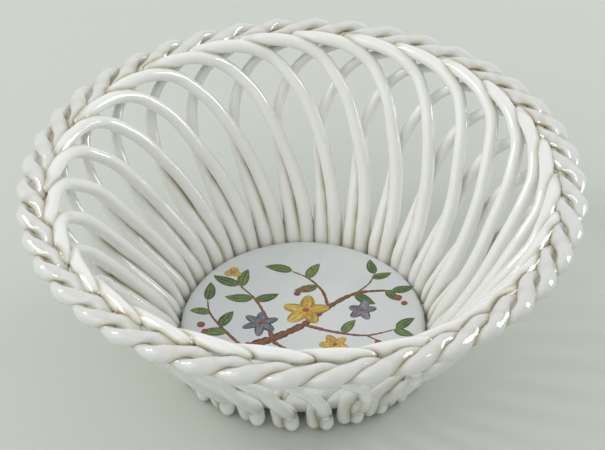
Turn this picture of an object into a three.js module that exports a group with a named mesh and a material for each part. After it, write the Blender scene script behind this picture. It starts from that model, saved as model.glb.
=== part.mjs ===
/*
 * Openwork porcelain basket.
 *
 * A round plate is the floor of the bowl. Porcelain cords stand round its edge. Each cord is bent
 * double under the plate's edge, so the basket stands on the bends. One limb of a bent cord climbs
 * inside the wall and leans one way, the other limb climbs outside it and leans the other way, and
 * together they make the open lattice. Both limbs arch over below the rim, where their thin ends
 * run along a two-ply twisted rope that closes the rim.
 *
 * Millimetres, +Z up. The origin is on the table, at the centre of the ring of feet.
 */

import * as THREE from 'three';

// Overall sizes
const basketDiameter = 191.5;
const basketHeight = 73;

// Floor plate
const plateDiameter = 86.6;
const plateThickness = 4.2;
const plateTopHeight = 8.5;
const plateEdgeRadius = 1.7;

// Lattice cords
const cordDiameter = 4.9;
const footStep = 2;
const footTilt = 0.8;
const footFlatDepth = 1.35;

// Rim rope
const plyThickness = 3.7;
const plyWidth = 5.1;
const ropeLay = 27.2;

// Space left between pieces that touch on the real basket
const clearance = 0.3;

// Fineness of the facets
const cordSides = 6;
const cordRingSpacing = 23;
const cordRingTurn = 27;
const curveSamples = 600;
const footBendSteps = 4;
const plySides = 6;
const plyStepsPerTurn = 8;
const plateSides = 60;
const plateEdgeSteps = 2;

// Angle of the first cord's root, and of the rope's first turn, seen from above
const firstCordDegrees = 10.54;
const firstPlyDegrees = 0;

// Derived sizes of the rope
const plyOffset = (plyThickness + clearance) / 2;
const ropeRadius = plyThickness + clearance / 2;
const rimRadius = basketDiameter / 2 - ropeRadius;
const rimHeight = basketHeight - ropeRadius;
const ropeTurns = Math.round(2 * Math.PI * rimRadius / ropeLay);

// Derived sizes of the lattice
const cordRadius = cordDiameter / 2;
const cordLayer = cordDiameter + clearance;
const plateRadius = plateDiameter / 2;
const rootRadius = plateRadius + clearance + cordRadius;
const footCentreHeight = cordRadius - footFlatDepth;
const footBendRadius = cordLayer / 2;
const wallFlare = rimRadius - rootRadius;
const wallRise = rimHeight - plateTopHeight;
const seatReach = ropeRadius + clearance + cordRadius;
const rootCircle = 2 * Math.PI * (rootRadius + footStep / 2);
const cordCount = Math.floor(rootCircle / (2 * cordLayer));
const cordPitch = 2 * Math.PI / cordCount;

/*
 * Course of one bent cord. Turns are shares of the pitch between neighbouring cords.
 *
 * Rim rows: turn, direction from the rope's centre in degrees, layers of cord beyond the seat.
 * Wall rows: turn, share of the wall's flare, share of its rise, layers outward.
 */
const innerRimShares = [
  [3.2, 211, -0.13],
  [2.92, 189, -0.12],
  [2.64, 176, 0.09],
  [2.33, 180, 0.38],
  [2.02, 191, 0.75],
];
const innerWallShares = [
  [1.71, 0.732, 0.923, 0],
  [1.44, 0.662, 0.85, 0],
  [1.18, 0.583, 0.763, 0],
  [0.86, 0.4635, 0.601, 0],
  [0.53, 0.337, 0.42, 0],
  [0.28, 0.2105, 0.2554, 0],
  [0.1, 0.0927, 0.112, 0],
];
const footTurnShare = 0.51;
const outerWallShares = [
  [0.53, 0, 0, 0.48],
  [0.6, 0.0927, 0.112, 0.62],
  [0.68, 0.24, 0.29, 0.94],
  [0.73, 0.4, 0.515, 1.25],
  [0.64, 0.49, 0.64, 1.35],
  [0.42, 0.595, 0.755, 1.45],
];
const outerRimShares = [
  [0.04, 237.5, 1.1],
  [-0.38, 249, 0.52],
  [-0.73, 259, 0.1],
  [-1.05, 266, -0.22],
];
const tailTipShare = 0.42;
const tailLengthShare = 0.16;

// Places on the basket

function pointOnBasket(turnShare, radius, height) {
  const angle = turnShare * cordPitch;
  return new THREE.Vector3(radius * Math.cos(angle), radius * Math.sin(angle), height);
}

function rimPoint([turnShare, degrees, layerShare]) {
  const direction = THREE.MathUtils.degToRad(degrees);
  const reach = seatReach + cordLayer * layerShare;
  const radius = rimRadius + reach * Math.cos(direction);
  const height = rimHeight + reach * Math.sin(direction);
  return pointOnBasket(turnShare, radius, height);
}

function wallPoint([turnShare, flareShare, riseShare, layerShare]) {
  const radius = rootRadius + wallFlare * flareShare + cordLayer * layerShare;
  const height = plateTopHeight + wallRise * riseShare;
  return pointOnBasket(turnShare, radius, height);
}

function footPoints() {
  const points = [];
  for (let step = 0; step <= footBendSteps; step += 1) {
    const angle = Math.PI * step / footBendSteps;
    const across = (1 - Math.cos(angle)) / 2;
    const radius = rootRadius + footStep * across;
    const drop = footBendRadius * (1 - Math.sin(angle));
    const height = footCentreHeight + drop + footTilt * (1 - across);
    points.push(pointOnBasket(footTurnShare * across, radius, height));
  }
  return points;
}

// One closed body through a row of rings

function bodyFromRings(rings, closedRow) {
  const sides = rings[0].length;
  const positions = rings.flat().flatMap((point) => [point.x, point.y, point.z]);
  const faces = [];
  const lastRow = closedRow ? rings.length : rings.length - 1;
  for (let row = 0; row < lastRow; row += 1) {
    const here = row * sides;
    const next = ((row + 1) % rings.length) * sides;
    for (let side = 0; side < sides; side += 1) {
      const other = (side + 1) % sides;
      faces.push(here + side, here + other, next + other);
      faces.push(here + side, next + other, next + side);
    }
  }
  if (!closedRow) {
    const end = (rings.length - 1) * sides;
    for (let side = 1; side < sides - 1; side += 1) {
      faces.push(0, side + 1, side);
      faces.push(end, end + side, end + side + 1);
    }
  }
  const geometry = new THREE.BufferGeometry();
  geometry.setAttribute('position', new THREE.Float32BufferAttribute(positions, 3));
  geometry.setIndex(faces);
  geometry.computeVertexNormals();
  return geometry;
}

function ringAround(centre, across, along, acrossRadius, alongRadius, sides) {
  const ring = [];
  for (let side = 0; side < sides; side += 1) {
    const angle = 2 * Math.PI * side / sides;
    const point = centre.clone();
    point.addScaledVector(across, acrossRadius * Math.cos(angle));
    point.addScaledVector(along, alongRadius * Math.sin(angle));
    ring.push(point);
  }
  return ring;
}

// Bent cord

function cordCurve() {
  const points = [
    ...innerRimShares.map(rimPoint),
    ...innerWallShares.map(wallPoint),
    ...footPoints(),
    ...outerWallShares.map(wallPoint),
    ...outerRimShares.map(rimPoint),
  ];
  return new THREE.CatmullRomCurve3(points, false, 'centripetal');
}

/* Places for the rings: close together where the cord bends, wide apart where it runs straight. */
function ringShares(curve) {
  const costs = [0];
  let tangent = curve.getTangent(0);
  let point = curve.getPoint(0);
  for (let sample = 1; sample <= curveSamples; sample += 1) {
    const nextTangent = curve.getTangent(sample / curveSamples);
    const nextPoint = curve.getPoint(sample / curveSamples);
    const bend = THREE.MathUtils.radToDeg(tangent.angleTo(nextTangent)) / cordRingTurn;
    const run = point.distanceTo(nextPoint) / cordRingSpacing;
    costs.push(costs[sample - 1] + bend + run);
    tangent = nextTangent;
    point = nextPoint;
  }
  const rows = Math.ceil(costs[curveSamples]);
  const shares = [];
  for (let row = 0; row <= rows; row += 1) {
    const cost = costs[curveSamples] * (row / rows);
    const sample = costs.findIndex((value) => value >= cost);
    shares.push(sample / curveSamples);
  }
  return shares;
}

function taperAt(share) {
  const fromEnd = Math.min(share, 1 - share);
  const full = Math.min(fromEnd / tailLengthShare, 1);
  return tailTipShare + (1 - tailTipShare) * Math.sin(full * Math.PI / 2);
}

/* A ring of the cord. Where it would reach below the table, the foot is pressed flat. */
function cordRing(curve, share) {
  const centre = curve.getPoint(share);
  const tangent = curve.getTangent(share);
  const outward = new THREE.Vector3(centre.x, centre.y, 0);
  const across = outward.projectOnPlane(tangent).normalize();
  const along = new THREE.Vector3().crossVectors(tangent, across);
  const radius = cordRadius * taperAt(share);
  const ring = ringAround(centre, across, along, radius, radius, cordSides);
  ring.forEach((point) => {
    point.z = Math.max(point.z, 0);
  });
  return ring;
}

function cordGeometry() {
  const curve = cordCurve();
  const rings = ringShares(curve).map((share) => cordRing(curve, share));
  return bodyFromRings(rings, false);
}

// Rim rope

function plyGeometry() {
  const rows = ropeTurns * plyStepsPerTurn;
  const rings = [];
  for (let row = 0; row < rows; row += 1) {
    const around = 2 * Math.PI * row / rows;
    const twist = around * ropeTurns;
    const outward = new THREE.Vector3(Math.cos(around), Math.sin(around), 0);
    const up = new THREE.Vector3(0, 0, 1);
    const forward = new THREE.Vector3(-Math.sin(around), Math.cos(around), 0);
    const offset = outward.clone().multiplyScalar(Math.cos(twist));
    offset.addScaledVector(up, Math.sin(twist));
    const swing = outward.clone().multiplyScalar(-Math.sin(twist));
    swing.addScaledVector(up, Math.cos(twist));
    const reach = rimRadius + plyOffset * Math.cos(twist);
    const centre = outward.clone().multiplyScalar(reach);
    centre.z = rimHeight + plyOffset * Math.sin(twist);
    const tangent = forward.multiplyScalar(reach);
    tangent.addScaledVector(swing, plyOffset * ropeTurns).normalize();
    const along = new THREE.Vector3().crossVectors(tangent, offset);
    rings.push(ringAround(centre, offset, along, plyThickness / 2, plyWidth / 2, plySides));
  }
  return bodyFromRings(rings, true);
}

// Floor plate

function plateGeometry() {
  const edgeCentre = plateRadius - plateEdgeRadius;
  const bottom = plateTopHeight - plateThickness;
  const profile = [new THREE.Vector2(0, bottom)];
  for (let step = 0; step <= plateEdgeSteps; step += 1) {
    const angle = Math.PI / 2 * (step / plateEdgeSteps - 1);
    const radius = edgeCentre + plateEdgeRadius * Math.cos(angle);
    const height = bottom + plateEdgeRadius + plateEdgeRadius * Math.sin(angle);
    profile.push(new THREE.Vector2(radius, height));
  }
  for (let step = 0; step <= plateEdgeSteps; step += 1) {
    const angle = Math.PI / 2 * step / plateEdgeSteps;
    const radius = edgeCentre + plateEdgeRadius * Math.cos(angle);
    const height = plateTopHeight - plateEdgeRadius + plateEdgeRadius * Math.sin(angle);
    profile.push(new THREE.Vector2(radius, height));
  }
  profile.push(new THREE.Vector2(0, plateTopHeight));
  const geometry = new THREE.LatheGeometry(profile, plateSides);
  return geometry.rotateX(Math.PI / 2);
}

// Glazed porcelain

function porcelain(colour) {
  return new THREE.MeshStandardMaterial({ color: colour, roughness: 0.15, metalness: 0 });
}

function addPiece(group, name, geometry, colour, degrees) {
  const mesh = new THREE.Mesh(geometry, porcelain(colour));
  mesh.name = name;
  mesh.rotation.z = THREE.MathUtils.degToRad(degrees);
  group.add(mesh);
}

// The whole basket

const basket = new THREE.Group();
basket.name = 'openwork_basket';

addPiece(basket, 'base_plate', plateGeometry(), '#e3e8ea', 0);

const cord = cordGeometry();
for (let index = 0; index < cordCount; index += 1) {
  const name = `lattice_loop_${String(index + 1).padStart(2, '0')}`;
  addPiece(basket, name, cord, '#e6e6e0', firstCordDegrees + 360 * index / cordCount);
}

const ply = plyGeometry();
addPiece(basket, 'rim_rope_ply_a', ply, '#e6e6e0', firstPlyDegrees);
addPiece(basket, 'rim_rope_ply_b', ply, '#e6e6e0', firstPlyDegrees + 180 / ropeTurns);

export default basket;
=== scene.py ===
"""Openwork porcelain basket, dressed piece by piece in the order in which it is put together.

The basket's sizes are in millimetres and become metres where a mesh is made. The table, the lamps
and the camera are placed in metres. +Z is up, and the table is at zero.
"""

import math
from collections import namedtuple

import bpy
import numpy as np
from mathutils import Matrix, Vector
from mathutils.kdtree import KDTree


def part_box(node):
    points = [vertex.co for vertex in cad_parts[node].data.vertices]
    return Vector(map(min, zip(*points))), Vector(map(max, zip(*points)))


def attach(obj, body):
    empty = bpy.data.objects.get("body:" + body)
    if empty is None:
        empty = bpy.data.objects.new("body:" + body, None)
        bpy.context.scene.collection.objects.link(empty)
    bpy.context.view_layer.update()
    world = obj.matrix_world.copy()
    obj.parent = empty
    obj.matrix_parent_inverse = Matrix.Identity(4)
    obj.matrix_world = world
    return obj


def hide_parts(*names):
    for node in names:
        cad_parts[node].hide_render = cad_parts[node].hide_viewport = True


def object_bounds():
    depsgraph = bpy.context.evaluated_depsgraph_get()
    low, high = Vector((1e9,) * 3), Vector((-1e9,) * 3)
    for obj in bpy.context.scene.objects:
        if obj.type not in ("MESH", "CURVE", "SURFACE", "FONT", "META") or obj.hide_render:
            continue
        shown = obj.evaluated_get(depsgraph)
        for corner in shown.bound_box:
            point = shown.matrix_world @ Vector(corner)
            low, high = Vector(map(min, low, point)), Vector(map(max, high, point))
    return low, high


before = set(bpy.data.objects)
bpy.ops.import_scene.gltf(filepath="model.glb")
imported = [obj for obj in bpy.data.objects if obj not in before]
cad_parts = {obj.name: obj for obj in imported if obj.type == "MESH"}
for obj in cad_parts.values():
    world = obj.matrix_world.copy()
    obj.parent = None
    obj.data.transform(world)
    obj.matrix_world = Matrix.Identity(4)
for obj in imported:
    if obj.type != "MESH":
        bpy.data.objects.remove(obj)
cad_low, cad_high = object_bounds()


# Floor plate
# The bowl's floor is a slab of porcelain, rolled out, cut round and softened along its edge. It is
# made first, because the cords are stuck to its edge with slip, and it is glazed all over.

MM = 0.001

plate_low, plate_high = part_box("base_plate")
plate_radius = plate_high.x / MM
plate_top = plate_high.z / MM
plate_bottom = plate_low.z / MM
plate_edge_radius = 1.9
plate_edge_steps = 8
plate_sides = 192
plate_ring_gap = 1.6
plate_dish = 0.25
plate_edge_waver = 0.22
plate_waver_turns = (3, 5, 8)
plate_waver_power = 8
plate_pool_reach = 2.6
plate_pool_share = 0.45
plate_drift = 0.25

# The floor's white is darker and bluer than the cords', though it is the same porcelain: painted shade,
# tinted blue as by sky light
plate_shaded_white = (0.640, 0.670, 0.670, 1)
# Where the glaze lies thick it shows olive, which also serves as painted shade in the gaps between
# pieces
pool_and_shade_olive = (0.400, 0.350, 0.190, 1)
body_cream = (0.740, 0.660, 0.500, 1)
# Painted shade: the narrowest gaps are darkened to brown
crease_shade_brown = (0.230, 0.190, 0.110, 1)
speck_brown = (0.220, 0.170, 0.120, 1)

# How many cells or waves of each pattern in the glaze lie in a metre
tone_scale = 28.0
patch_scale = 75.0
speck_scale = 260.0
gloss_scale = 420.0
wave_scale = 150.0
peel_scale = 900.0

# Between which values of its noise a pattern goes from its least to its full strength, and how many
# finer noises the patches' own noise holds
tone_contrast = (0.35, 0.65)
patch_contrast = (0.36, 0.60)
gloss_contrast = (0.3, 0.7)
patch_detail = 3.0

# How strongly each thing shows, a speck's limits in its cell, and the surface's gloss and relief
cream_share = 0.10
thin_patch_share = 0.30
crease_shade_from_share = 0.66
crease_shade_patch_share = 0.55
speck_share = 0.45
speckless_share = 0.965
speck_core = 0.03
speck_rim = 0.06
peel_share = 0.06
glaze_roughness = (0.05, 0.11)
glaze_relief = 0.35
glaze_relief_depth = 0.35
glaze_finish = {"IOR": 1.52, "Coat Weight": 0.35, "Coat Roughness": 0.03}


def node(tree, kind, values=None, **settings):
    """A new node with its settings, and its sockets set to a value or linked to another socket."""
    made = tree.nodes.new(kind)
    for name, value in settings.items():
        setattr(made, name, value)
    for socket, value in (values or {}).items():
        if isinstance(value, bpy.types.NodeSocket):
            tree.links.new(value, made.inputs[socket])
        else:
            made.inputs[socket].default_value = value
    return made


def math_node(tree, operation, first, second=0.0, clamp=False):
    values = {0: first, 1: second}
    return node(tree, "ShaderNodeMath", values, operation=operation, use_clamp=clamp).outputs[0]


def mix_colours(tree, share, first, second):
    values = {0: share, 6: first, 7: second}
    return node(tree, "ShaderNodeMix", values, data_type="RGBA", clamp_factor=True).outputs[2]


def remap(tree, value, low, high, new_low=0.0, new_high=1.0):
    values = {"Value": value, 1: low, 2: high, 3: new_low, 4: new_high}
    return node(tree, "ShaderNodeMapRange", values, clamp=True).outputs[0]


def noise_at(tree, place, scale, detail=2.0):
    values = {"Vector": place, "Scale": scale, "Detail": detail}
    return node(tree, "ShaderNodeTexNoise", values).outputs["Fac"]


FLOAT = "NodeSocketFloat"
COLOUR = "NodeSocketColor"


def effect_group(name, inputs):
    """A shader node group for a surface's colour, roughness and height, and its input sockets."""
    tree = bpy.data.node_groups.new(name, "ShaderNodeTree")
    for socket, kind, value in inputs:
        made = tree.interface.new_socket(socket, in_out="INPUT", socket_type=kind)
        made.default_value = value
    for socket, kind in (("Colour", COLOUR), ("Roughness", FLOAT), ("Height", FLOAT)):
        tree.interface.new_socket(socket, in_out="OUTPUT", socket_type=kind)
    return tree, node(tree, "NodeGroupInput").outputs


def glaze_effect():
    """Clear glaze on white porcelain: slow tone drifts, colour where it pools plus painted shade, fine
    waves.
    """
    tree, given = effect_group("glaze_over_porcelain", [
        ("Body", COLOUR, (0.7, 0.7, 0.7, 1)), ("Pool and shade", COLOUR, pool_and_shade_olive),
        ("Pooling and shade", FLOAT, 0.0), ("Drift", FLOAT, 0.5)])
    place = node(tree, "ShaderNodeTexCoord").outputs["Object"]
    slow = remap(tree, noise_at(tree, place, tone_scale), *tone_contrast)
    warm = mix_colours(tree, cream_share, given["Body"], body_cream)
    drifted = math_node(tree, "MULTIPLY", slow, given["Drift"])
    body = mix_colours(tree, drifted, given["Body"], warm)
    patch_noise = noise_at(tree, place, patch_scale, patch_detail)
    patch = remap(tree, patch_noise, *patch_contrast, thin_patch_share, 1.0)
    # The olive of thick glaze, laid on also as painted shade in the gaps between pieces
    pool_and_shade_share = math_node(tree, "MULTIPLY", given["Pooling and shade"], patch, clamp=True)
    colour = mix_colours(tree, pool_and_shade_share, body, given["Pool and shade"])
    # Painted shade: where the gap is narrowest the colour darkens further to brown
    deep_shade = remap(tree, given["Pooling and shade"], crease_shade_from_share, 1.0)
    deep_shade_patch = remap(tree, patch, thin_patch_share, 1.0, crease_shade_patch_share, 1.0)
    crease_shade = math_node(tree, "MULTIPLY", deep_shade, deep_shade_patch)
    colour = mix_colours(tree, crease_shade, colour, crease_shade_brown)
    cells = node(tree, "ShaderNodeTexVoronoi", {"Vector": place, "Scale": speck_scale})
    near = remap(tree, cells.outputs["Distance"], speck_core, speck_rim, 1.0, 0.0)
    split = node(tree, "ShaderNodeSeparateColor", {"Color": cells.outputs["Color"]})
    rare = math_node(tree, "GREATER_THAN", split.outputs[0], speckless_share)
    speck = math_node(tree, "MULTIPLY", math_node(tree, "MULTIPLY", near, rare), speck_share)
    colour = mix_colours(tree, speck, colour, speck_brown)
    gloss_noise = noise_at(tree, place, gloss_scale)
    rough = remap(tree, gloss_noise, *gloss_contrast, *glaze_roughness)
    peel = math_node(tree, "MULTIPLY", noise_at(tree, place, peel_scale), peel_share)
    height = math_node(tree, "ADD", noise_at(tree, place, wave_scale), peel)
    node(tree, "NodeGroupOutput", {"Colour": colour, "Roughness": rough, "Height": height})
    return tree


glaze = glaze_effect()


def empty_material(name):
    """A new material and its node tree, which has no nodes yet."""
    material = bpy.data.materials.new(name)
    material.use_nodes = True
    material.node_tree.nodes.clear()
    return material, material.node_tree


def show_effect(tree, effect, values, relief, depth, finish):
    """Puts an effect with its values on a shader, with its relief and the rest of its finish."""
    surface = node(tree, "ShaderNodeGroup", values, node_tree=effect).outputs
    bump = node(tree, "ShaderNodeBump", {
        "Strength": relief, "Distance": depth * MM, "Height": surface["Height"]})
    shader = node(tree, "ShaderNodeBsdfPrincipled", {
        "Base Color": surface["Colour"], "Roughness": surface["Roughness"],
        "Normal": bump.outputs[0], **finish})
    node(tree, "ShaderNodeOutputMaterial", {"Surface": shader.outputs[0]})


def glazed_porcelain(name, body, drift):
    """A glossy glazed material. The mesh's own values say where the glaze lies thick and shade is
    painted.
    """
    material, tree = empty_material(name)
    pooling = node(tree, "ShaderNodeAttribute", attribute_name="pooling").outputs["Fac"]
    values = {"Body": body, "Pool and shade": pool_and_shade_olive, "Pooling and shade": pooling, "Drift": drift}
    show_effect(tree, glaze, values, glaze_relief, glaze_relief_depth, glaze_finish)
    return material


def mesh_piece(name, points, faces, material, body="root", **measures):
    """A smooth-shaded mesh piece from points in millimetres, with a value of each measure a point."""
    mesh = bpy.data.meshes.new(name)
    mesh.from_pydata((np.asarray(points) * MM).tolist(), [], faces)
    mesh.validate()
    mesh.polygons.foreach_set("use_smooth", [True] * len(mesh.polygons))
    for measure, values in measures.items():
        mesh.attributes.new(measure, "FLOAT", "POINT").data.foreach_set("value", values)
    mesh.materials.append(material)
    piece = bpy.data.objects.new(name, mesh)
    bpy.context.scene.collection.objects.link(piece)
    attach(piece, body)
    return piece


def full_turn(count):
    return np.linspace(0, 2 * math.pi, count, endpoint=False)


def skin_of_rings(count, sides, looped=False):
    """Four-cornered faces over a row of rings, the last joined to the first if looped."""
    faces = []
    for row in range(count if looped else count - 1):
        here, there = row * sides, (row + 1) % count * sides
        for side in range(sides):
            other = (side + 1) % sides
            faces.append((here + side, here + other, there + other, there + side))
    return faces


def closed_skin(rings, middles=None):
    """The points and faces of a row of rings, its ends closed on their middles or on given points."""
    count, sides = rings.shape[:2]
    if middles is None:
        middles = [rings[0].mean(0), rings[-1].mean(0)]
    points = np.vstack([rings.reshape(-1, 3), middles])
    faces = skin_of_rings(count, sides)
    start, end, last = count * sides, count * sides + 1, (count - 1) * sides
    for side in range(sides):
        other = (side + 1) % sides
        faces.append((start, other, side))
        faces.append((end, last + side, last + other))
    return points, faces


def plate_profile():
    """Radius and height from the middle of the underside, round the edge, to the middle on top."""
    edge = plate_radius - plate_edge_radius
    inner = np.arange(plate_ring_gap, edge, plate_ring_gap)
    dish = plate_dish * (1 - (inner / edge) ** 2) ** 2
    angles = np.linspace(-math.pi / 2, math.pi / 2, 2 * plate_edge_steps + 1)
    half = (plate_top - plate_bottom) / 2
    middle = (plate_top + plate_bottom) / 2
    radii = np.r_[inner, edge + plate_edge_radius * np.cos(angles), inner[::-1]]
    heights = np.r_[np.full(len(inner), plate_bottom), middle + half * np.sin(angles),
                    plate_top - dish[::-1]]
    return radii, heights


def plate_rings():
    """The profile turned round, with an edge that wavers as a cut by hand does."""
    radii, heights = plate_profile()
    around = full_turn(plate_sides)
    waver = sum(np.sin(turns * around + turns) for turns in plate_waver_turns)
    waver = plate_edge_waver * waver / len(plate_waver_turns)
    near_edge = np.clip(radii / plate_radius, 0, 1) ** plate_waver_power
    reach = radii[:, None] + near_edge[:, None] * (waver[None, :] - plate_edge_waver)
    level = np.broadcast_to(heights[:, None], reach.shape)
    return np.stack([reach * np.cos(around), reach * np.sin(around), level], axis=2)


plate_middles = [(0, 0, plate_bottom), (0, 0, plate_top - plate_dish)]
plate_points, plate_faces = closed_skin(plate_rings(), plate_middles)
from_edge = plate_radius - np.hypot(plate_points[:, 0], plate_points[:, 1])
plate_pooling = np.clip(1 - from_edge / plate_pool_reach, 0, 1) * plate_pool_share

plate_glaze = glazed_porcelain("plate_glaze", plate_shaded_white, plate_drift)
floor_plate = mesh_piece("floor_plate", plate_points, plate_faces, plate_glaze,
                         pooling=plate_pooling)
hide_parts("base_plate")


# Lattice cords
# The wall is made of porcelain cords rolled by hand and bent double under the plate's edge. One limb
# climbs inside, the other outside, and both arch over below the rim, where their ends thin out.

basket_diameter = (cad_high.x - cad_low.x) / MM
basket_height = cad_high.z / MM
cord_count = 28
cord_pitch = 2 * math.pi / cord_count
first_cord_degrees = 10.54
cord_radius = 2.45
clearance = 0.3
cord_layer = 2 * cord_radius + clearance
rope_radius = 3.85
rim_radius = basket_diameter / 2 - rope_radius
rim_height = basket_height - rope_radius
root_radius = plate_radius + clearance + cord_radius
seat_reach = rope_radius + clearance + cord_radius
foot_turn = 0.42
foot_step = -0.1
foot_tuck = 1.8
foot_taper = 4.2
foot_lift = 0.25
foot_softness = 0.06
bend_height = 3.3
bend_girth = 4.2
bend_inset_share = 0.12
bend_rings = 8
cord_sides = 22
cap_rings = 7
cap_share = 0.97
cord_ring_gap = 1.05
course_steps = 24
fewest_steps = 4

# Turn in pitches, direction from the rope's centre in degrees, layers of cord beyond its seat
inner_rim_rows = [(3.36, 170, -0.02), (3.00, 171, 0.22), (2.66, 172, 0.42), (2.33, 177, 0.58),
                  (2.02, 187, 0.82)]
outer_rim_rows = [(0.04, 230, 0.80), (-0.38, 235, 0.10), (-0.73, 238, -0.36), (-1.05, 239, -0.48)]
# Turn in pitches, shares of the wall's flare and rise, layers of cord outward
inner_wall_rows = [(1.71, 0.732, 0.923, 0), (1.44, 0.662, 0.85, 0), (1.18, 0.583, 0.763, 0),
                   (0.86, 0.4635, 0.601, 0), (0.53, 0.337, 0.42, 0), (0.28, 0.2105, 0.2554, 0),
                   (0.1, 0.0927, 0.112, 0)]
outer_wall_rows = [(0.49, 0, 0, 0.28), (0.57, 0.0927, 0.112, 0.38), (0.66, 0.24, 0.29, 0.74),
                   (0.73, 0.4, 0.515, 1.25), (0.64, 0.49, 0.64, 1.35), (0.42, 0.595, 0.755, 1.45)]

# Share of each limb's length from its end at the rim to its foot, and its diameter there
inner_girths = [(0, 4.4), (0.42, 4.55), (0.75, 5.0), (0.9, 5.4), (1, 5.3)]
outer_girths = [(0, 3.0), (0.22, 3.5), (0.42, 4.2), (0.65, 4.9), (0.85, 5.5), (1, 5.6)]
tail_length = 10.0
tail_tip_share = 0.50
tip_length = 2.2
tip_start_share = 0.04
foot_end_share = 0.003

# How the inner limb's tail is pressed: its length, its width and thickness, how much broader it is
# at the front, and how its flat side turns from the wall to a point inside the rope's middle
pressed_length = 46.0
pressed_wide = 1.06
pressed_thin = 1.10
pressed_front = 0.56
lay_inward = 2.0
lay_start = 1.3
lay_fade = 1.6

# The front of the wall slumped a little. Its middle and spread are in degrees, shift, lean and bow in
# pitches, push and sag in millimetres, and places up the wall are shares of the rim's height
front_degrees = -84
front_spread = 34
front_shift = 0.55
front_shift_power = 1.3
front_lean = 0.35
lean_from_share = 0.25
lean_over_share = 0.6
front_bow = 0.30
front_push = 1.2
bow_top_share = 0.95
front_sag = 2.0
front_sag_power = 1.4
rim_push = 1.8
rim_sag = 2.4

# The hand's unevenness: the most that a limb strays or swells, and the length of each wave
tremor_waves = 3
tremor_stretches = (0.8, 1.25)
out_tremor = 0.22
out_wave = 90.0
side_tremor = 0.38
side_wave = 110.0
girth_tremor = 0.022
girth_wave = 60.0
cord_seed = 700

cord_white = (0.850, 0.852, 0.820, 1)
cord_drift = 0.8

upward = np.array([0.0, 0.0, 1.0])

# A skin of rings round a middle line. It may run in a loop, and slip may join it to what is near
Shell = namedtuple("Shell", "rings centres radii along looped joins", defaults=(False, True))


def on_basket(turn, radius, height):
    angle = turn * cord_pitch
    return (radius * math.cos(angle), radius * math.sin(angle), height)


def rim_place(turn, degrees, layers):
    reach = seat_reach + cord_layer * layers
    radius = rim_radius + reach * math.cos(math.radians(degrees))
    return on_basket(turn, radius, rim_height + reach * math.sin(math.radians(degrees)))


def wall_place(turn, flare, rise, layers):
    radius = root_radius + (rim_radius - root_radius) * flare + cord_layer * layers
    return on_basket(turn, radius, plate_top + (rim_height - plate_top) * rise)


def smooth_course(places):
    """A close row of points along the centripetal curve through the places."""
    places = np.asarray(places, float)
    places = np.vstack([2 * places[0] - places[1], places, 2 * places[-1] - places[-2]])
    gaps = np.sqrt(np.linalg.norm(np.diff(places, axis=0), axis=1))
    share = np.linspace(0, 1, course_steps, endpoint=False)[:, None]
    course = []
    for index in range(1, len(places) - 2):
        before, here, after = gaps[index - 1:index + 2]
        past, start, end, next_place = places[index - 1:index + 3]
        leave = ((start - past) / before - (end - past) / (before + here)
                 + (end - start) / here) * here
        arrive = ((end - start) / here - (next_place - start) / (here + after)
                  + (next_place - end) / after) * here
        course.append(start + leave * share + (3 * (end - start) - 2 * leave - arrive) * share ** 2
                      + (2 * (start - end) + leave + arrive) * share ** 3)
    course.append(places[-2][None, :])
    return np.vstack(course)


def lengths_along(course):
    return np.r_[0, np.cumsum(np.linalg.norm(np.diff(course, axis=0), axis=1))]


def at_lengths(course, gap, cap=0.0):
    """The course at equal steps, crowded towards a rounded end, and how far along each step lies."""
    lengths = lengths_along(course)
    plain = lengths[-1] - cap
    along = np.linspace(0, plain, max(int(round(plain / gap)), fewest_steps) + 1)
    if cap:
        turn = np.linspace(0, cap_share * math.pi / 2, cap_rings + 1)[1:]
        along = np.r_[along, plain + cap * np.sin(turn)]
    return np.stack([np.interp(along, lengths, course[:, i]) for i in range(3)], axis=1), along


def unit(vectors):
    return vectors / np.linalg.norm(vectors, axis=-1, keepdims=True)


def tremor(along, wave_length, draw):
    """A slow wavering between -1 and 1, as a hand leaves it."""
    total = np.zeros(len(along))
    for wave in range(tremor_waves):
        phase = draw.uniform(0, 2 * math.pi)
        stretch = draw.uniform(*tremor_stretches)
        total += np.sin(2 * math.pi * along * (wave + 1) / (wave_length * stretch) + phase)
    return total / tremor_waves


def rings_along(centres, across, radii_across, radii_along, sides):
    """Rings square to the row of centres. The first direction of each ring is its across."""
    tangents = unit(np.gradient(centres, axis=0))
    across = unit(across - np.sum(across * tangents, axis=1, keepdims=True) * tangents)
    along = np.cross(tangents, across)
    angles = full_turn(sides)
    out = across[:, None, :] * (np.cos(angles)[None, :, None] * radii_across[:, None, None])
    up = along[:, None, :] * (np.sin(angles)[None, :, None] * radii_along[:, None, None])
    return centres[:, None, :] + out + up


def nearness_to_front(turn):
    degrees = (math.degrees(turn) - front_degrees + 180) % 360 - 180
    return math.exp(-(degrees / front_spread) ** 2)


def limb_places(outside):
    """The places that a limb passes, from its end at the rim to its foot on the table."""
    if outside:
        rim_rows, wall_rows = outer_rim_rows[::-1], outer_wall_rows[::-1]
        foot = (foot_turn, root_radius + foot_step)
    else:
        rim_rows, wall_rows = inner_rim_rows, inner_wall_rows
        foot = (0, root_radius - foot_tuck)
    places = [rim_place(*row) for row in rim_rows]
    places += [wall_place(*row) for row in wall_rows]
    return places + [on_basket(*foot, 0)]


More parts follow.
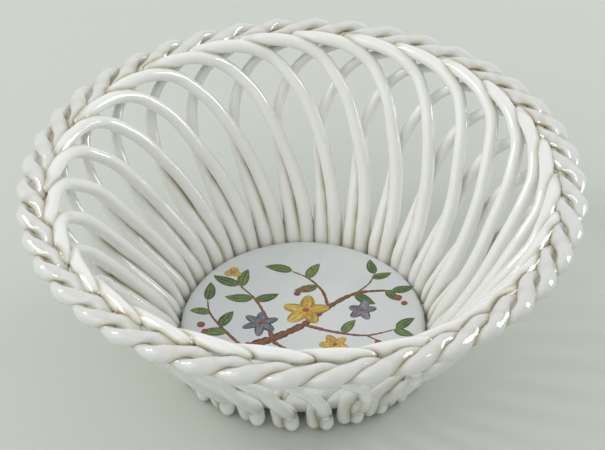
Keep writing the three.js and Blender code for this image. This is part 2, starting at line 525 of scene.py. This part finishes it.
def limb_course(turn, outside):
    """A limb's middle line. At the front it leans, bows out and sags, and its foot is further round."""
    x, y, z = smooth_course(limb_places(outside)).T
    front = nearness_to_front(turn)
    rise = np.clip(z / rim_height, 0, 1)
    shift = front_shift * (1 - rise) ** front_shift_power
    lean = np.clip((rise - lean_from_share) / lean_over_share, 0, 1)
    lean = lean * lean * (3 - 2 * lean)
    bow = outside * front * np.sin(np.clip(rise / bow_top_share, 0, 1) * math.pi)
    angle = cord_pitch * (front * (shift - front_lean * lean * outside) - front_bow * bow)
    push = front_push * bow + rim_push * front * (not outside) * lean ** 2
    x, y = (part * (1 + push / np.hypot(x, y)) for part in (x, y))
    sag = front * (front_sag * outside * np.sin(rise * math.pi) ** front_sag_power
                   + rim_sag * (not outside) * lean ** 2)
    return np.stack([x * np.cos(angle) - y * np.sin(angle),
                     x * np.sin(angle) + y * np.cos(angle), z - sag], axis=1)


def limb_radii(along, girths, draw):
    """The limb's radius at each ring: thin at its end, slim at the arch, stout at the foot."""
    shares, widths = zip(*girths)
    radii = np.interp(along / along[-1], shares, widths) / 2
    radii = radii * (1 + girth_tremor * tremor(along, girth_wave, draw))
    thinned = np.sin(np.clip(along / tail_length, 0, 1) * math.pi / 2)
    tail = tail_tip_share + (1 - tail_tip_share) * thinned
    from_tip = 1 - np.clip(along / tip_length, tip_start_share, 1)
    tip = np.sqrt(np.clip(1 - from_tip ** 2, 0, 1))
    into_foot = np.clip(1 - (along[-1] - along) / foot_taper, 0, 1)
    return radii * tail * tip * np.sqrt(np.clip(1 - into_foot ** 2, foot_end_share, 1))


def limb_shell(turn, outside, draw):
    """One limb of a cord, with a hand's small unevenness, and a rounded foot on the table."""
    course, along = at_lengths(limb_course(turn, outside), cord_ring_gap, foot_taper)
    outward = unit(course * np.array([1, 1, 0]))
    sideways = np.stack([-outward[:, 1], outward[:, 0], np.zeros(len(outward))], axis=1)
    hold = np.sin(along / along[-1] * math.pi)[:, None]
    centres = (course + out_tremor * hold * outward * tremor(along, out_wave, draw)[:, None]
               + side_tremor * hold * sideways * tremor(along, side_wave, draw)[:, None])
    radii = limb_radii(along, outer_girths if outside else inner_girths, draw)
    wide, thin = radii, radii
    flat_side = outward
    if not outside:
        # The tail is pressed broad against the rope, and turns its flat side to it
        pressed = np.clip(1 - along / pressed_length, 0, 1) ** 0.5
        broader = pressed_wide - 1 + pressed_front * nearness_to_front(turn)
        wide = radii * (1 + broader * pressed)
        thin = radii * (1 + (pressed_thin - 1) * pressed)
        reach = np.hypot(course[:, 0], course[:, 1])[:, None]
        to_rope = unit(outward * (rim_radius - lay_inward - reach)
                       + upward * (rim_height - course[:, 2:3]))
        lay = np.clip(lay_start - along / pressed_length * lay_fade, 0, 1)[:, None]
        flat_side = unit(outward * (1 - lay) + to_rope * lay)
    rings = rings_along(centres, flat_side, thin, wide, cord_sides)
    return Shell(rings, centres, radii, along)


def bend_shell(inner_foot, outer_foot):
    """The short bend that joins the two feet of a cord, between their rounded ends."""
    share = np.linspace(bend_inset_share, 1 - bend_inset_share, bend_rings)[:, None]
    start, end = (np.array([*foot[:2], bend_height]) for foot in (inner_foot, outer_foot))
    centres = start * (1 - share) + end * share
    radii = np.full(bend_rings, bend_girth / 2)
    upright = np.tile(upward, (bend_rings, 1))
    rings = rings_along(centres, upright, radii, radii, cord_sides)
    return Shell(rings, centres, radii, lengths_along(centres), joins=False)


def cord_shells(index):
    """The inner limb, the outer limb and the bend of one cord, turned to its place in the wall."""
    draw = np.random.default_rng(cord_seed + index)
    turn = math.radians(first_cord_degrees) + index * cord_pitch
    inner, outer = limb_shell(turn, False, draw), limb_shell(turn, True, draw)
    bend = bend_shell(inner.centres[-1], outer.centres[-1])
    spin = np.array(Matrix.Rotation(turn, 3, "Z")).T
    shells = []
    for shell in (inner, outer, bend):
        # The feet are flattened softly where they would sink below the table
        height = shell.rings[:, :, 2] + foot_lift
        shell.rings[:, :, 2] = (height + np.sqrt(height ** 2 + foot_softness)) / 2
        shells.append(shell._replace(rings=shell.rings @ spin, centres=shell.centres @ spin))
    return shells


cords = {f"cord_{index + 1:02d}": cord_shells(index) for index in range(cord_count)}
cord_glaze = glazed_porcelain("cord_glaze", cord_white, cord_drift)


# Rim rope
# Two plies of porcelain, twisted into a rope while soft and laid round the rim. It closes the bowl
# and covers the thin ends of the cords, which are stuck to its under side and its inner side.

ply_thickness = 5.1
ply_press = 0.32
ply_width = 5.8
ply_swing = 3.15
ply_rise = 1.3
ply_haste = 0.1
ply_haste_degrees = 90
ply_swell = 0.025
ply_swell_turns = (9, 17, 26)
ply_swell_phases = (0, 6)
ply_sides = 24
ply_steps_per_turn = 44
ply_seeds = (41, 42)
rope_turns = 21
rope_out = -1.85
rope_sag = 0.7
front_narrow = 0.34
core_wide = 2.0
core_high = 1.0
# The core's share of thick glaze colour and painted shade
core_pooling = 0.8

# The rope is the cords' porcelain given a darker white: painted shade that tones down the rim's
# brighter light
rope_shaded_white = (0.700, 0.703, 0.680, 1)
rope_drift = 0.8

around_rope = full_turn(rope_turns * ply_steps_per_turn)
rope_front = np.array([nearness_to_front(turn) for turn in around_rope])
rope_middle = rim_radius + rope_out + ply_swing * front_narrow * rope_front
rope_height = rim_height - rope_sag * rope_front


def ply_shell(phase, seed):
    """One ply, wound round the rope's centre line. Its section is wider than it is thick."""
    draw = np.random.default_rng(seed)
    count = len(around_rope)
    even = rope_turns * around_rope + phase
    twist = even + ply_haste * np.sin(even - math.radians(ply_haste_degrees))
    outward = np.stack([np.cos(around_rope), np.sin(around_rope), np.zeros(count)], axis=1)
    away = outward * np.cos(twist)[:, None] + upward * np.sin(twist)[:, None]
    swing = ply_swing * (1 - front_narrow * rope_front)
    centres = (outward * (rope_middle + swing * np.cos(twist))[:, None]
               + upward * (rope_height + ply_rise * np.sin(twist))[:, None])
    tangents = unit(np.roll(centres, -1, axis=0) - np.roll(centres, 1, axis=0))
    away = unit(away - np.sum(away * tangents, axis=1, keepdims=True) * tangents)
    along = np.cross(tangents, away)
    waves = [np.sin(turns * around_rope + draw.uniform(*ply_swell_phases))
             for turns in ply_swell_turns]
    swell = 1 + ply_swell * sum(waves) / len(waves)
    pressed = swell * (1 - ply_press * np.sin(twist) ** 2)
    angles = full_turn(ply_sides)
    thick = ply_thickness / 2 * pressed[:, None, None] * np.cos(angles)[None, :, None]
    wide = ply_width / 2 * swell[:, None, None] * np.sin(angles)[None, :, None]
    rings = centres[:, None, :] + away[:, None, :] * thick + along[:, None, :] * wide
    radii = np.full(count, (ply_thickness + ply_width) / 4)
    return Shell(rings, centres, radii, lengths_along(centres), looped=True)


def core_rings():
    """The slip that fills the middle of the rope, between its two plies."""
    angles = full_turn(ply_sides)
    radii = rope_middle[:, None] + core_wide * np.cos(angles)[None, :]
    heights = rope_height[:, None] + core_high * np.sin(angles)[None, :]
    return np.stack([radii * np.cos(around_rope)[:, None], radii * np.sin(around_rope)[:, None],
                     heights], axis=2)


plies = {"rope_ply_a": [ply_shell(0.0, ply_seeds[0])],
         "rope_ply_b": [ply_shell(math.pi, ply_seeds[1])]}
rope_glaze = glazed_porcelain("rope_glaze", rope_shaded_white, rope_drift)


# Slip and glaze at the joints
# The pieces are stuck together with slip, and in the kiln the glaze runs into each narrow place. It
# rounds off the joint and shows its own colour there, because it lies thick. That colour is also
# painted shade in the gaps, darkest brown in the narrowest.

fillet_reach = 1.3
fillet_passes = 4
fillet_step = 0.8
# How far from a neighbour the thick glaze's colour and the painted shade reach
pool_and_shade_reach = 1.9
own_cord_reach = 9.0
widest_radius = 2.9

# The middle lines of all limbs and plies, in one tree that finds what is near a place
named_shells = [(name, shell) for name, shells in (cords | plies).items() for shell in shells]
joining = [(owner, shell) for owner, (_, shell) in enumerate(named_shells) if shell.joins]
owners = np.concatenate([np.full(len(shell.centres), owner) for owner, shell in joining])
all_centres = np.vstack([shell.centres for _, shell in joining])
all_radii = np.concatenate([shell.radii for _, shell in joining])
all_along = np.concatenate([shell.along for _, shell in joining])
neighbours = KDTree(len(all_centres))
for number, centre in enumerate(all_centres):
    neighbours.insert(centre, number)
neighbours.balance()


def near_others(owner, shell, row):
    """Numbers of the near centres that belong to other shells, or lie far along the same one."""
    found = neighbours.find_range(shell.centres[row], shell.radii[row] + widest_radius + pool_and_shade_reach)
    near = np.array([number for _, number, _ in found], int)
    apart = np.abs(all_along[near] - shell.along[row])
    if shell.looped:
        loop_length = shell.along[-1] + np.linalg.norm(shell.centres[0] - shell.centres[-1])
        apart = np.minimum(apart, np.abs(loop_length - apart))
    return near[(owners[near] != owner) | (apart > own_cord_reach)]


def room_to(near, points):
    """How far each point is from the surface round the nearest of the near centres."""
    apart = np.linalg.norm(points[:, None, :] - all_centres[near][None, :, :], axis=2)
    return (apart - all_radii[near][None, :]).min(axis=1)


def fillet_swelling(ring, outward, near):
    """How far each point of a ring moves out, so that slip fills the corner beside a neighbour."""
    moved = np.zeros(len(ring))
    for _ in range(fillet_passes):
        room = room_to(near, ring + outward * moved[:, None])
        blend = np.clip(fillet_reach - np.abs(moved - room), 0, None) / fillet_reach
        level = np.minimum(moved, room) - blend ** 2 * fillet_reach / 4
        moved = np.clip(moved - fillet_step * level, 0, fillet_reach / 4)
    return moved


def joined(owner, shell):
    """A shell's points, faces and its thick glaze and painted shade, swollen where another piece is
    near.
    """
    rings = shell.rings.copy()
    pooling = np.zeros(rings.shape[:2])
    for row in range(len(rings) if shell.joins else 0):
        near = near_others(owner, shell, row)
        if len(near) == 0:
            continue
        room = room_to(near, rings[row])
        # Near a neighbour the glaze lies thick, and its colour paints shade into the gap
        pooling[row] = np.clip(1 - np.clip(room, 0, None) / pool_and_shade_reach, 0, 1)
        outward = unit(rings[row] - shell.centres[row])
        rings[row] += outward * fillet_swelling(rings[row], outward, near)[:, None]
    rings[:, :, 2] = np.maximum(rings[:, :, 2], 0)
    if shell.looped:
        return rings.reshape(-1, 3), skin_of_rings(*rings.shape[:2], True), pooling.ravel()
    points, faces = closed_skin(rings)
    return points, faces, np.r_[pooling.ravel(), pooling[0, 0], pooling[-1, -1]]


def gathered(parts):
    """The points, the faces and each of the measures of several parts, as those of one."""
    starts = np.cumsum([0] + [len(part[0]) for part in parts])
    faces = [tuple(int(start) + corner for corner in face)
             for start, part in zip(starts, parts) for face in part[1]]
    points, _, *measures = zip(*parts)
    return np.vstack(points), faces, [np.concatenate(values) for values in measures]


parts_of = {}
for owner, (name, shell) in enumerate(named_shells):
    parts_of.setdefault(name, []).append(joined(owner, shell))
core = core_rings()
core_faces = skin_of_rings(*core.shape[:2], True)
# The core is coloured throughout as thick glaze and painted shade, for the shadowed gaps between plies
parts_of["rope_ply_a"].append((core.reshape(-1, 3), core_faces,
                               np.full(core.shape[0] * core.shape[1], core_pooling)))

# The cords and the plies become pieces only here, because a fillet needs both of its sides
for name, parts in parts_of.items():
    points, faces, (pooling,) = gathered(parts)
    kind, material = ("cord_glaze", cord_glaze) if name in cords else ("rope_glaze", rope_glaze)
    piece = mesh_piece(name, points, faces, material, pooling=pooling)
    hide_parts(name.replace("cord", "lattice_loop").replace("rope_ply", "rim_rope_ply"))


# Painted spray
# The glazed floor is painted with a spray of leaves, blossoms and berries in enamel colours. A third,
# cooler firing melts them onto the glaze, where they stand up by 0.04 to 0.15 mm.

enamel_sunk = 0.06
stroke_sides = 14
leaf_rows = 22
twig_row_gap = 0.5
twig_level, leaf_level, petal_level, berry_level = 0.045, 0.060, 0.078, 0.105
petal_lift = 0.006
heart_lift = 0.03
twig_knot = 0.30
twig_knot_gap = 7.0
twig_end_share = 0.15
dot_end_share = 1.0001
leaf_stalk_share = 0.02
leaf_stalk_power = 0.62
leaf_point_share = 1.005
leaf_point_power = 0.9
leaf_teeth = 0.05
petal_power = 0.72
petal_root_share = 0.04
petal_overlap = 2.1
petal_stray = 7
petal_bend = 14
petal_lengths = (0.9, 1.05)
petal_widths = (0.85, 1.0)
brush_seed = 77

# Each paint's light and dark shades, how strongly its veins show, and a stroke's length in streaks
leaf_green = ((0.285, 0.365, 0.095, 1), (0.042, 0.082, 0.030, 1), 1.0, 4.0)
bark_brown = ((0.400, 0.150, 0.050, 1), (0.058, 0.020, 0.012, 1), 0.0, 30.0)
petal_yellow = ((0.780, 0.560, 0.110, 1), (0.330, 0.190, 0.030, 1), 0.25, 3.0)
petal_grey = ((0.300, 0.330, 0.370, 1), (0.060, 0.062, 0.075, 1), 0.25, 3.0)
berry_red = ((0.520, 0.150, 0.055, 1), (0.105, 0.020, 0.010, 1), 0.0, 2.0)

# Points in the plane of the floor, and the width of the twig at its start and at its end
twigs = [([(-31, -19), (-22, -14.5), (-11, -9.5), (0, -2.5), (9, 6.5), (19, 13.5), (32, 15)],
          4.4, 0.9),
         ([(-21, -14), (-27, -6), (-33, 4), (-34, 11)], 1.5, 0.5),
         ([(-11, -9.5), (-13, 1), (-17, 11), (-23, 19)], 1.7, 0.5),
         ([(0, -2.5), (11, -6.5), (22, -8.5), (33, -5.5)], 1.6, 0.5),
         ([(-12, -10), (-3, -17), (8, -20), (17, -20)], 1.5, 0.5),
         ([(9, 6.5), (7, 15), (2, 22), (-4, 26)], 1.3, 0.5),
         ([(19, 13.5), (24, 19), (26, 24)], 0.9, 0.4),
         ([(22, -8.5), (28, -13), (31, -18)], 0.8, 0.4)]
# Place of the stalk, direction in degrees, length, width and bend in degrees
leaves = [(-27, -6, 185, 9.5, 4.4, 30), (-29, -3, 60, 9.0, 4.2, -25), (-33, 4, 170, 7.5, 3.6, 30),
          (-34, 11, 85, 9.5, 4.0, 20), (-17, 11, 20, 9.0, 4.0, 30), (-18, 12, 175, 10.0, 4.4, -30),
          (-23, 19, 150, 10.5, 4.4, -25), (-22, 18, 75, 9.5, 4.2, -20), (2, 22, 60, 9.0, 4.0, -30),
          (5, 18, 195, 8.5, 3.8, -35), (-4, 26, 165, 10.0, 4.2, 20), (19, 13.5, -40, 9.0, 4.2, 30),
          (32, 15, 15, 8.0, 3.8, 35), (30, 15, -50, 7.5, 3.4, 25), (26, 24, 100, 8.0, 3.6, -25),
          (25, 22, 20, 7.5, 3.4, 30), (33, -5.5, 40, 8.5, 4.0, -30), (32, -5.6, -25, 7.5, 3.6, 25),
          (8, -20, 80, 8.5, 4.0, -30), (17, -20, 20, 9.5, 4.2, 25), (15, -20, -35, 8.5, 3.8, 25),
          (-3, -17, -80, 8.0, 3.8, 30), (14, -7, 55, 8.0, 3.8, -25)]
# Middle, reach of the petals, number of petals and turn in degrees
yellow_blossoms = [(1, 5, 8.2, 5, 12), (-25, 25.5, 3.2, 3, 80), (11, -13, 5.6, 5, 40)]
grey_blossoms = [(-15, -1.5, 6.6, 6, 20), (21, 4.5, 5.4, 5, 5)]
# Middle and radius
berries = [(31, -18, 1.6), (28.5, -15.5, 1.4), (33, -15, 1.3), (26, -12, 1.2), (-36, -2, 1.5),
           (-34.5, -5.5, 1.3), (-2, 14, 1.3), (0.5, 16.5, 1.5), (-33, -21, 1.2), (36, 8, 1.2),
           (34, 11, 1.4)]
# The heart of a blossom with petals of this reach, and the stamens round it
full_petal_reach = 7
heart_radius = 1.15
stamens = 9
stamen_radius = 0.27
stamen_shares = (0.26, 0.38)

# Brushwork: streaks across half a stroke, their shift from stroke to stroke, the veins' wave along a
# stroke and its slant in radians, and how much each thing darkens the stroke
streaks_across = 4.0
stroke_shift = 31.0
vein_wave = 44.0
vein_slant = 9.0
streak_shade, rim_shade, tone_shade, line_shade = 0.75, 0.55, 0.25, 0.5
streak_contrast = (0.30, 0.70)
streak_detail = 4.0
rim_from_share = 0.45
vein_from = 0.55
midrib_shares = (0.06, 0.16)
enamel_roughness = (0.12, 0.24)
enamel_relief = 0.3
enamel_relief_depth = 0.02
enamel_finish = {"IOR": 1.5}


def plate_level(places):
    """Height of the floor's dished top at each place."""
    share = np.hypot(places[..., 0], places[..., 1]) / (plate_radius - plate_edge_radius)
    return plate_top - plate_dish * (1 - np.clip(share, 0, 1) ** 2) ** 2


def stroke(course, half_widths, level, tone):
    """A flat stroke of enamel along a course. Returns its points, faces and their measures."""
    ahead = unit(np.gradient(course, axis=0))
    left = np.stack([-ahead[:, 1], ahead[:, 0]], axis=1)
    angles = full_turn(stroke_sides)
    flat = course[:, None, :] + left[:, None, :] * (np.cos(angles)[None, :, None]
                                                    * half_widths[:, None, None])
    rise = np.where(np.sin(angles) > 0, level, enamel_sunk) * np.sin(angles)
    rings = np.dstack([flat, plate_level(flat) + rise[None, :]])
    points, faces = closed_skin(rings)
    along = np.repeat(np.linspace(0, 1, len(course)), stroke_sides)
    across = np.tile(np.cos(angles), len(course))
    return points, faces, np.r_[along, 0, 1], np.r_[across, 0, 0], np.full(len(points), tone)


def bowed_course(x, y, degrees, length, bend, rows):
    """A course that starts at a place in a direction and turns evenly by its bend."""
    headings = np.radians(degrees + bend * np.linspace(-0.5, 0.5, rows))
    steps = np.stack([np.cos(headings), np.sin(headings)], axis=1) * length / (rows - 1)
    return np.array([x, y]) + np.vstack([[0, 0], np.cumsum(steps[:-1], axis=0)])


def twig(draw, places, start, end):
    """A knotty stroke that narrows from its start to its end."""
    places = np.array([(x, y, 0) for x, y in places], float)
    course, along = at_lengths(smooth_course(places), twig_row_gap)
    width = np.interp(along / along[-1], [0, 1], [start, end])
    width = width * (1 + twig_knot * tremor(along, twig_knot_gap, draw))
    ends = np.clip(np.minimum(along, along[-1] - along) / start, twig_end_share, 1) ** 0.5
    return stroke(course[:, :2], width / 2 * ends, twig_level, draw.uniform(0, 1))


def leaf(draw, x, y, degrees, length, width, bend):
    """A leaf, fullest just before its middle, with a finely toothed edge."""
    share = np.linspace(0, 1, leaf_rows)
    from_stalk = (share + leaf_stalk_share) ** leaf_stalk_power
    shape = from_stalk * (leaf_point_share - share) ** leaf_point_power
    teeth = 1 + leaf_teeth * np.cos(math.pi * np.arange(leaf_rows))
    course = bowed_course(x, y, degrees, length, bend, leaf_rows)
    return stroke(course, width / 2 * shape / shape.max() * teeth, leaf_level, draw.uniform(0, 1))


def petals(draw, x, y, reach, count, turn):
    """A ring of overlapping petals, each a little higher than the one before."""
    made = []
    share = np.linspace(0, 1, leaf_rows)
    shape = np.sqrt(np.clip(1 - (2 * share ** petal_power - 1) ** 2, 0, 1)) + petal_root_share
    for index in range(count):
        degrees = turn + 360 / count * index + draw.uniform(-petal_stray, petal_stray)
        length = reach * draw.uniform(*petal_lengths)
        width = petal_overlap * math.pi * reach / count / 2 * draw.uniform(*petal_widths)
        bend = draw.uniform(-petal_bend, petal_bend)
        course = bowed_course(x, y, degrees, length, bend, leaf_rows)
        made.append(stroke(course, width / 2 * shape, petal_level + petal_lift * index,
                           draw.uniform(0, 1)))
    return made


def dot(draw, x, y, radius, level=berry_level):
    """A round drop of enamel."""
    share = np.linspace(-1, 1, stroke_sides + 1)
    course = np.stack([x + radius * share, np.full(len(share), float(y))], axis=1)
    half_widths = radius * np.sqrt(dot_end_share - share ** 2)
    return stroke(course, half_widths, level, draw.uniform(0, 1))


def blossom_heart(draw, x, y, reach, count, turn):
    """The dot in the middle of a blossom, and the stamens round it."""
    level = petal_level + petal_lift * count + heart_lift
    made = [dot(draw, x, y, heart_radius * reach / full_petal_reach, level)]
    for index in range(stamens):
        # Here the blossom's turn only says where the ring of stamens starts
        angle = 2 * math.pi * index / stamens + turn
        far = reach * draw.uniform(*stamen_shares)
        made.append(dot(draw, x + far * math.cos(angle), y + far * math.sin(angle),
                        stamen_radius, level))
    return made


def enamel_effect():
    """Brushwork: streaks along the stroke, a dark rim, a midrib and side veins where wanted."""
    tree, given = effect_group("enamel_brushwork", [
        ("Light", COLOUR, (0.5, 0.5, 0.5, 1)), ("Dark", COLOUR, (0.1, 0.1, 0.1, 1)),
        ("Veins", FLOAT, 0.0), ("Length", FLOAT, 5.0)])
    along, across, tone = (node(tree, "ShaderNodeAttribute", attribute_name=measure).outputs["Fac"]
                           for measure in ("along", "across", "tone"))
    side = math_node(tree, "ABSOLUTE", across)
    brush_place = node(tree, "ShaderNodeCombineXYZ", {
        0: math_node(tree, "MULTIPLY", along, given["Length"]),
        1: math_node(tree, "MULTIPLY", across, streaks_across),
        2: math_node(tree, "MULTIPLY", tone, stroke_shift)}).outputs[0]
    streaks = remap(tree, noise_at(tree, brush_place, 1.0, streak_detail), *streak_contrast)
    rim = math_node(tree, "MULTIPLY", remap(tree, side, rim_from_share, 1.0), rim_shade)
    shade = math_node(tree, "ADD", math_node(tree, "MULTIPLY", streaks, streak_shade), rim)
    shade = math_node(tree, "ADD", shade, math_node(tree, "MULTIPLY", tone, tone_shade))
    slant = math_node(tree, "SUBTRACT", math_node(tree, "MULTIPLY", along, vein_wave),
                      math_node(tree, "MULTIPLY", side, vein_slant))
    vein = remap(tree, math_node(tree, "SINE", slant), vein_from, 1.0)
    midrib = remap(tree, side, *midrib_shares, 1.0, 0.0)
    lines = math_node(tree, "MULTIPLY", math_node(tree, "MAXIMUM", vein, midrib), given["Veins"])
    lines = math_node(tree, "MULTIPLY", lines, line_shade)
    shade = math_node(tree, "ADD", shade, lines, clamp=True)
    colour = mix_colours(tree, shade, given["Light"], given["Dark"])
    rough = remap(tree, streaks, 0.0, 1.0, *enamel_roughness)
    node(tree, "NodeGroupOutput", {"Colour": colour, "Roughness": rough, "Height": streaks})
    return tree


enamel = enamel_effect()


def painted(name, strokes, finish_name, paint):
    """One piece of enamel from its strokes, all in one paint."""
    light, dark, veins, length = paint
    material, tree = empty_material(finish_name)
    values = {"Light": light, "Dark": dark, "Veins": veins, "Length": length}
    show_effect(tree, enamel, values, enamel_relief, enamel_relief_depth, enamel_finish)
    points, faces, (along, across, tone) = gathered(strokes)
    mesh_piece(name, points, faces, material, along=along, across=across, tone=tone)


brush = np.random.default_rng(brush_seed)
twig_strokes = [twig(brush, *row) for row in twigs]
leaf_strokes = [leaf(brush, *row) for row in leaves]
yellow_strokes = [petal for row in yellow_blossoms for petal in petals(brush, *row)]
grey_strokes = [petal for row in grey_blossoms for petal in petals(brush, *row)]
berry_strokes = [dot(brush, *row) for row in berries]
for row in yellow_blossoms + grey_blossoms:
    berry_strokes += blossom_heart(brush, *row)

painted("painted_twigs", twig_strokes, "twig_enamel", bark_brown)
painted("painted_leaves", leaf_strokes, "leaf_enamel", leaf_green)
painted("painted_yellow_blossoms", yellow_strokes, "yellow_enamel", petal_yellow)
painted("painted_grey_blossoms", grey_strokes, "grey_enamel", petal_grey)
painted("painted_berries", berry_strokes, "berry_enamel", berry_red)


# Table
# The basket stands on a sheet of pale grey-green paper, which lies flat and reaches past the view on
# all sides. It is only the stage, and no piece of the basket.

table_reach = 2.5
table_corners = [(-1, -1), (1, -1), (1, 1), (-1, 1)]
paper = (0.595, 0.626, 0.568, 1)
paper_dim_share = 0.9
paper_grain_scale = 900.0
paper_grain_detail = 4.0
paper_grain_contrast = (0.3, 0.7)
paper_grain_share = 0.06
paper_roughness = 0.85
paper_specular = 0.15


def paper_material():
    """Matt paper with a fine, faint grain."""
    material = bpy.data.materials.new("paper")
    material.use_nodes = True
    tree = material.node_tree
    shader = tree.nodes["Principled BSDF"]
    place = node(tree, "ShaderNodeTexCoord").outputs["Object"]
    grain_noise = noise_at(tree, place, paper_grain_scale, paper_grain_detail)
    grain = remap(tree, grain_noise, *paper_grain_contrast, 0.0, paper_grain_share)
    dim = tuple(paper_dim_share * part for part in paper[:3]) + (1,)
    tree.links.new(mix_colours(tree, grain, paper, dim), shader.inputs["Base Color"])
    shader.inputs["Roughness"].default_value = paper_roughness
    shader.inputs["Specular IOR Level"].default_value = paper_specular
    return material


table_mesh = bpy.data.meshes.new("table")
table_mesh.from_pydata([(table_reach * x, table_reach * y, 0) for x, y in table_corners], [],
                       [(0, 1, 2, 3)])
table_mesh.materials.append(paper_material())
table = bpy.data.objects.new("table", table_mesh)
bpy.context.scene.collection.objects.link(table)


# Light
# A wide soft lamp stands high at the left, a small one beyond it gives the shadows an edge, and a
# weaker one fills in from the right. Two more show only in the glaze, as bright spots and as long
# streaks. The room is even and pale.

lamp_aim = Vector((0, 0, 0.03))
left_place = (-1.10, -0.45, 1.15)
key_place = (-0.98, 0.25, 0.92)
right_place = (0.98, 0.62, 0.40)
streak_place = (1.09, 0.17, 0.50)
warm_lamp = (1.0, 0.99, 0.97)
cool_lamp = (0.97, 0.99, 1.0)
room_seen = (0.60, 0.63, 0.58, 1)
room_light = (0.97, 0.99, 1.0, 1)
room_strength = 0.72


def soft_lamp(name, place, size, power, colour, matt=True, gloss=True):
    """An oblong lamp aimed at the basket. It may be left out of matt light or of reflections."""
    data = bpy.data.lights.new(name, "AREA")
    data.shape = "RECTANGLE"
    data.size, data.size_y = size
    data.energy = power
    data.color = colour
    lamp = bpy.data.objects.new(name, data)
    lamp.location = place
    direction = lamp_aim - Vector(place)
    lamp.rotation_euler = direction.to_track_quat("-Z", "Y").to_euler()
    lamp.visible_diffuse, lamp.visible_glossy = matt, gloss
    bpy.context.scene.collection.objects.link(lamp)


soft_lamp("lamp_left", left_place, size=(1.40, 1.40), power=6.4, colour=warm_lamp)
soft_lamp("lamp_key", key_place, size=(0.26, 0.26), power=2.6, colour=warm_lamp, gloss=False)
soft_lamp("lamp_spark", key_place, size=(0.44, 0.44), power=8.5, colour=warm_lamp, matt=False)
soft_lamp("lamp_right", right_place, size=(0.30, 0.56), power=4.4, colour=cool_lamp, gloss=False)
soft_lamp("lamp_streak", streak_place, size=(0.42, 0.86), power=12.0, colour=cool_lamp, matt=False)

world = bpy.data.worlds.new("room")
bpy.context.scene.world = world
world.use_nodes = True
room = world.node_tree
room.nodes.clear()
ray = node(room, "ShaderNodeLightPath")
seen = node(room, "ShaderNodeBackground", {"Color": room_seen, "Strength": 1.0})
lit = node(room, "ShaderNodeBackground", {"Color": room_light, "Strength": room_strength})
either = node(room, "ShaderNodeMixShader", {
    0: ray.outputs["Is Camera Ray"], 1: lit.outputs[0], 2: seen.outputs[0]})
node(room, "ShaderNodeOutputWorld", {"Surface": either.outputs[0]})


# Camera
# It looks down at the basket from the front. Its distance, height, roll and lens come from taking
# the plate's edge and the rim's outline in the photograph as circles.

camera_distance = 0.8
camera_elevation = math.radians(42.55)
camera_base_height = 0.0085
camera_aim = Vector((0.00015, 0.0, 0.05207))
camera_roll = math.radians(-0.67)
focal_pixels = 2265.8
picture_width = 605
sensor_width = 36.0
clip_near, clip_far = 0.05, 20

camera_data = bpy.data.cameras.new("camera")
camera_data.sensor_width = sensor_width
camera_data.lens = sensor_width * focal_pixels / picture_width
camera_data.clip_start, camera_data.clip_end = clip_near, clip_far
camera = bpy.data.objects.new("camera", camera_data)
camera_place = Vector((0, -camera_distance * math.cos(camera_elevation),
                       camera_distance * math.sin(camera_elevation) + camera_base_height))
ahead = (camera_aim - camera_place).normalized()
right = ahead.cross(Vector((0, 0, 1))).normalized()
up = right.cross(ahead)
turned_right = right * math.cos(camera_roll) + up * math.sin(camera_roll)
turned_up = up * math.cos(camera_roll) - right * math.sin(camera_roll)
pose = Matrix((turned_right, turned_up, -ahead)).transposed().to_4x4()
pose.translation = camera_place
camera.matrix_world = pose
bpy.context.scene.collection.objects.link(camera)
bpy.context.scene.camera = camera
bpy.context.scene.view_settings.view_transform = "Standard"
